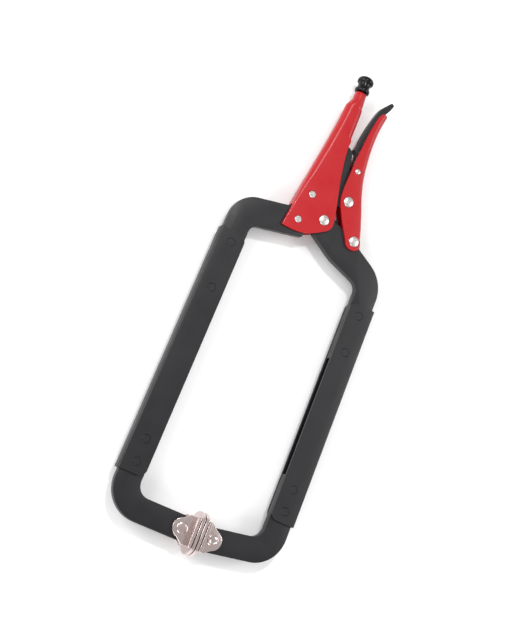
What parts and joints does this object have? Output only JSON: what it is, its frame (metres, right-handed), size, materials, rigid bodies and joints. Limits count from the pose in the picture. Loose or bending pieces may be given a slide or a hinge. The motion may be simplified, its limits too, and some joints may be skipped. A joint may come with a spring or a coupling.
{
  "type": "locking pliers",
  "caption": "Long-reach C-clamp locking pliers: channel arms with swivelling round pads, red toggle-lock handles, an adjusting knob and a release lever.",
  "frame": {"origin": "centre of the tool's box, on the surface it lies on", "axes": "+X across the throat from the fixed arm to the moving arm, +Y along the arms towards the handles and the knob, +Z the tool's thickness, up; every hinge of the linkage turns about Z"},
  "size_m": [0.2244, 0.6198, 0.038],
  "materials": {
    "red_paint": "gloss",
    "black_paint": "satin",
    "zinc_plate": "satin",
    "nickel_plate": "gloss",
    "black_oxide": "semi-gloss",
    "screw_steel": "satin",
    "spring_steel": "satin"
  },
  "bodies": {
    "frame": {"upper_handle": "red_paint", "fixed_jaw": "black_paint", "fixed_jaw_rivet_upper": "zinc_plate", "fixed_jaw_rivet_lower": "zinc_plate", "jaw_pivot_rivet": "zinc_plate", "fixed_arm": "black_paint", "fixed_arm_rivet_upper_outer": "black_paint", "fixed_arm_rivet_upper_inner": "black_paint", "fixed_arm_rivet_lower_inner": "black_paint", "fixed_arm_rivet_lower_outer": "black_paint", "fixed_arm_tip": "black_paint", "fixed_pad_rivet": "nickel_plate", "tension_spring": "spring_steel"},
    "moving_jaw": {"moving_jaw": "black_paint", "moving_arm": "black_paint", "moving_arm_rivet_upper_outer": "black_paint", "moving_arm_rivet_upper_inner": "black_paint", "moving_arm_rivet_lower_inner": "black_paint", "moving_arm_rivet_lower_outer": "black_paint", "moving_arm_tip": "black_paint", "lever_pivot_rivet": "zinc_plate", "moving_pad_rivet": "nickel_plate"},
    "lower_handle": {"lower_handle": "red_paint", "link_rivet": "zinc_plate", "release_lever_pin": "zinc_plate"},
    "toggle_link": {"toggle_link": "black_paint"},
    "release_lever": {"release_lever": "black_paint"},
    "screw": {"adjusting_screw": "screw_steel"},
    "knob": {"knob": "black_oxide"},
    "fixed_pad": {"fixed_pad_bracket": "nickel_plate", "fixed_pad": "nickel_plate"},
    "moving_pad": {"moving_pad_bracket": "nickel_plate", "moving_pad": "nickel_plate"}
  },
  "joints": [
    {"name": "jaw_hinge", "type": "hinge", "parent": "frame", "child": "moving_jaw", "pos_m": [0.00617, 0.11591, 0.019], "axis": [0, 0, 1], "range_deg": [0, 36], "deforming": ["tension_spring"]},
    {"name": "lower_handle_hinge", "type": "hinge", "parent": "moving_jaw", "child": "lower_handle", "pos_m": [0.05197, 0.10961, 0.019], "axis": [0, 0, 1], "range_deg": [-80, 0]},
    {"name": "toggle_hinge", "type": "hinge", "parent": "lower_handle", "child": "toggle_link", "pos_m": [0.02687, 0.15121, 0.019], "axis": [0, 0, 1], "range_deg": [0, 89]},
    {"name": "release_hinge", "type": "hinge", "parent": "lower_handle", "child": "release_lever", "pos_m": [0.02377, 0.19151, 0.019], "axis": [0, 0, 1], "range_deg": [0, 8]},
    {"name": "knob_turn", "type": "hinge", "parent": "screw", "child": "knob", "pos_m": [-0.00713, 0.28791, 0.019], "axis": [0, 1, 0], "range_deg": [0, 5670]},
    {"name": "screw_slide", "type": "slide", "parent": "frame", "child": "screw", "axis": [0, 1, 0], "range_m": [0, 0.025]},
    {"name": "fixed_pad_swivel", "type": "hinge", "parent": "frame", "child": "fixed_pad", "pos_m": [-0.01583, -0.28409, 0.019], "axis": [0, 0, 1], "range_deg": [-18, 18]},
    {"name": "moving_pad_swivel", "type": "hinge", "parent": "moving_jaw", "child": "moving_pad", "pos_m": [0.02357, -0.28409, 0.019], "axis": [0, 0, 1], "range_deg": [-18, 18]}
  ],
  "couplings": [
    {"joint": "lower_handle_hinge", "follows": "jaw_hinge", "ratio": -2.2},
    {"joint": "toggle_hinge", "follows": "jaw_hinge", "ratio": 2.46},
    {"joint": "fixed_pad_swivel", "follows": "jaw_hinge", "ratio": 0.5},
    {"joint": "moving_pad_swivel", "follows": "jaw_hinge", "ratio": -0.5},
    {"joint": "knob_turn", "follows": "screw_slide", "rad_per_m": 3957.9}
  ]
}
